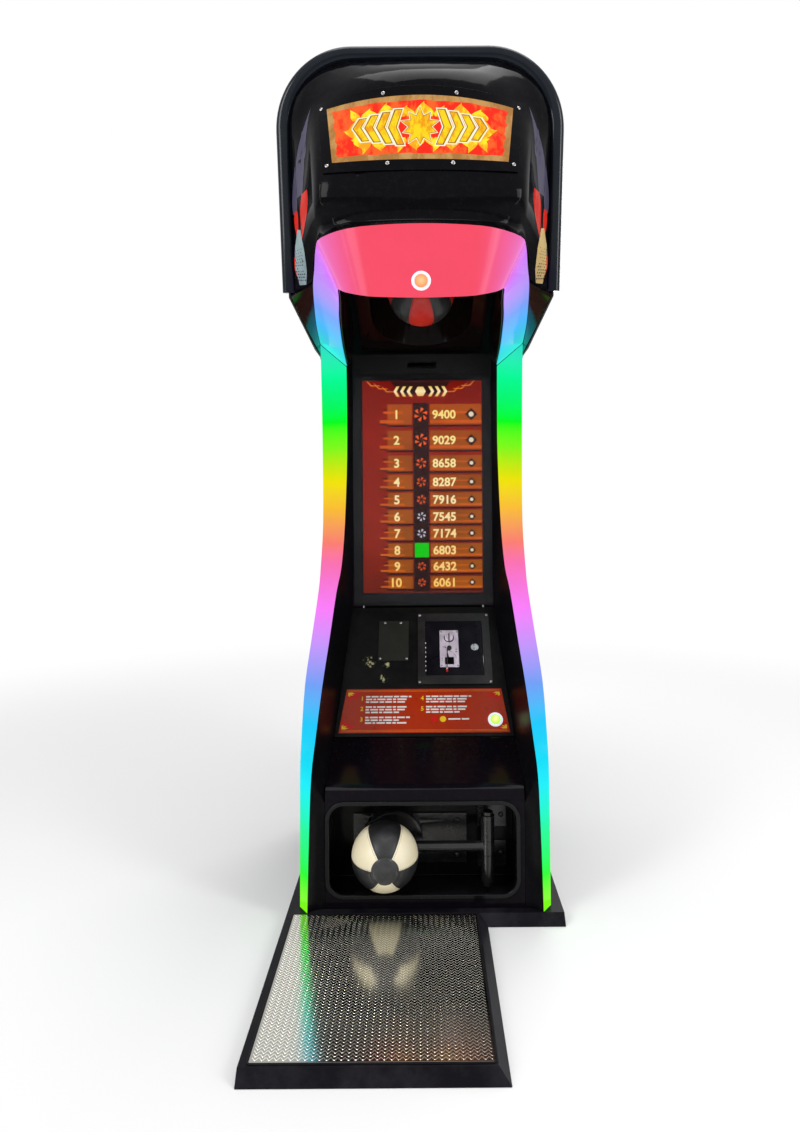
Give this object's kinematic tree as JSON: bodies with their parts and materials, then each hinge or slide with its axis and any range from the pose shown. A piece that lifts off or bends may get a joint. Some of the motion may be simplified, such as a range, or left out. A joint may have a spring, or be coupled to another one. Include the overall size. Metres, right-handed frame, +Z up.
{
  "type": "boxing and kicking arcade machine",
  "caption": "Free-standing strength tester with a drop-down punch ball under a hood, a swinging kick ball, screen, coin door and tread plate.",
  "frame": {"origin": "on the floor, on the cabinet's centre line, under the base's front top edge", "axes": "+Z up, +Y to the rear, the player stands at -Y facing +Y, +X to the player's right"},
  "size_m": [0.73, 1.312, 2.224],
  "materials": {
    "black_steel": "satin powder coat",
    "tread_steel": "embossed",
    "edge_rubber": "matte",
    "side_laminate": "black laminate, satin",
    "black_moulding": "gloss",
    "opal_diffuser": "opal, lit from behind",
    "led_board": "satin",
    "zinc_steel": "zinc plated",
    "instruction_print": "printed, satin",
    "white_ring": "gloss",
    "kick_lens": "gloss, lit",
    "selector_casting": "satin",
    "black_lever": "satin",
    "cover_glass": "tinted",
    "screen_case": "lit front",
    "hood_shell_black": "fine texture",
    "trim_gloss": "gloss",
    "marquee_print": "printed, lit from behind",
    "cavity_gloss": "gloss",
    "punch_lens": "gloss, lit",
    "bracket_steel": "satin",
    "arm_steel": "semi-gloss",
    "red_leather": "coated, semi-gloss",
    "bumper_rubber": "matte",
    "panel_leather": "coated, semi-gloss"
  },
  "bodies": {
    "cabinet": {"base_frame": "black_steel", "platform_frame": "black_steel", "tread_plate": "tread_steel", "tread_border": "edge_rubber", "side_panel_left": "side_laminate", "side_panel_right": "side_laminate", "flank_left": "black_moulding", "flank_right": "black_moulding", "light_strip_left": "opal_diffuser", "light_strip_right": "opal_diffuser", "led_strips": "led_board", "cabinet_rails": "black_steel", "rear_panel": "black_steel", "rear_door_hinge": "zinc_steel", "power_inlet": "black_moulding", "front_moulding": "black_moulding", "recess_tub": "black_moulding", "recess_lip": "black_moulding", "tray_panel": "black_steel", "instruction_plate": "instruction_print", "kick_button_housing": "white_ring", "cover_plate": "black_steel", "coin_door_frame": "black_steel", "cash_box": "zinc_steel", "panel_screws": "zinc_steel", "screen_surround": "black_steel", "screen_glass": "cover_glass", "screen_panel": "screen_case", "game_board_box": "zinc_steel", "hood_floor": "black_steel", "hood_shell": "hood_shell_black", "hood_rear_cover": "black_steel", "hood_trim": "trim_gloss", "hood_nose": "black_moulding", "hood_soffits": "black_moulding", "hood_light": "opal_diffuser", "marquee_plate": "black_moulding", "marquee_panel": "marquee_print", "marquee_lamp": "led_board", "cavity_liner": "cavity_gloss", "hood_beams": "black_steel", "loudspeakers": "black_moulding", "punch_button_housing": "white_ring", "punch_bearings": "bracket_steel", "punch_bumper": "bumper_rubber", "punch_lift_motor": "zinc_steel", "kick_bearings": "bracket_steel", "kick_wall_plate": "bracket_steel"},
    "punch_target": {"punch_arm": "arm_steel", "punch_ball": "red_leather"},
    "kick_target": {"kick_arm": "arm_steel", "kick_ball": "panel_leather"},
    "coin_door": {"coin_door": "black_steel", "coin_selector": "selector_casting"},
    "coin_lever": {"coin_return_lever": "black_lever"},
    "coin_lock": {"coin_door_lock": "zinc_steel"},
    "punch_button": {"punch_button": "punch_lens"},
    "kick_button": {"kick_button": "kick_lens"},
    "rear_door": {"rear_door": "black_steel"},
    "rear_lock": {"rear_door_lock": "zinc_steel"}
  },
  "joints": [
    {"name": "punch_swing", "type": "hinge", "parent": "cabinet", "child": "punch_target", "pos_m": [0, -0.03, 1.8], "axis": [-1, 0, 0], "range_deg": [0, 78]},
    {"name": "kick_swing", "type": "hinge", "parent": "cabinet", "child": "kick_target", "pos_m": [0.172, 0.092, 0.162], "axis": [0, 0, 1], "range_deg": [0, 90]},
    {"name": "coin_door_hinge", "type": "hinge", "parent": "cabinet", "child": "coin_door", "pos_m": [0.0115, 0.4454, 0.6377], "axis": [0, -0.6665, -0.7455], "range_deg": [0, 100]},
    {"name": "coin_lock_turn", "type": "hinge", "parent": "coin_door", "child": "coin_lock", "pos_m": [0.162, 0.44589, 0.63645], "axis": [0, -0.7455, 0.6665], "range_deg": [0, 90]},
    {"name": "coin_lever_press", "type": "slide", "parent": "coin_door", "child": "coin_lever", "axis": [0, 0.7455, -0.6665], "range_m": [0, 0.004], "stiffness_N_per_m": 400, "springref_m": -0.002},
    {"name": "punch_button_press", "type": "slide", "parent": "cabinet", "child": "punch_button", "axis": [0, 1, 0], "range_m": [0, 0.004], "stiffness_N_per_m": 500, "springref_m": -0.002},
    {"name": "kick_button_press", "type": "slide", "parent": "cabinet", "child": "kick_button", "axis": [0, 0.7455, -0.6665], "range_m": [0, 0.004], "stiffness_N_per_m": 500, "springref_m": -0.002},
    {"name": "rear_door_hinge", "type": "hinge", "parent": "cabinet", "child": "rear_door", "pos_m": [0.218, 0.719, 0.8], "axis": [0, 0, -1], "range_deg": [0, 110]},
    {"name": "rear_lock_turn", "type": "hinge", "parent": "rear_door", "child": "rear_lock", "pos_m": [-0.178, 0.712, 0.8], "axis": [0, -1, 0], "range_deg": [0, 90]}
  ]
}
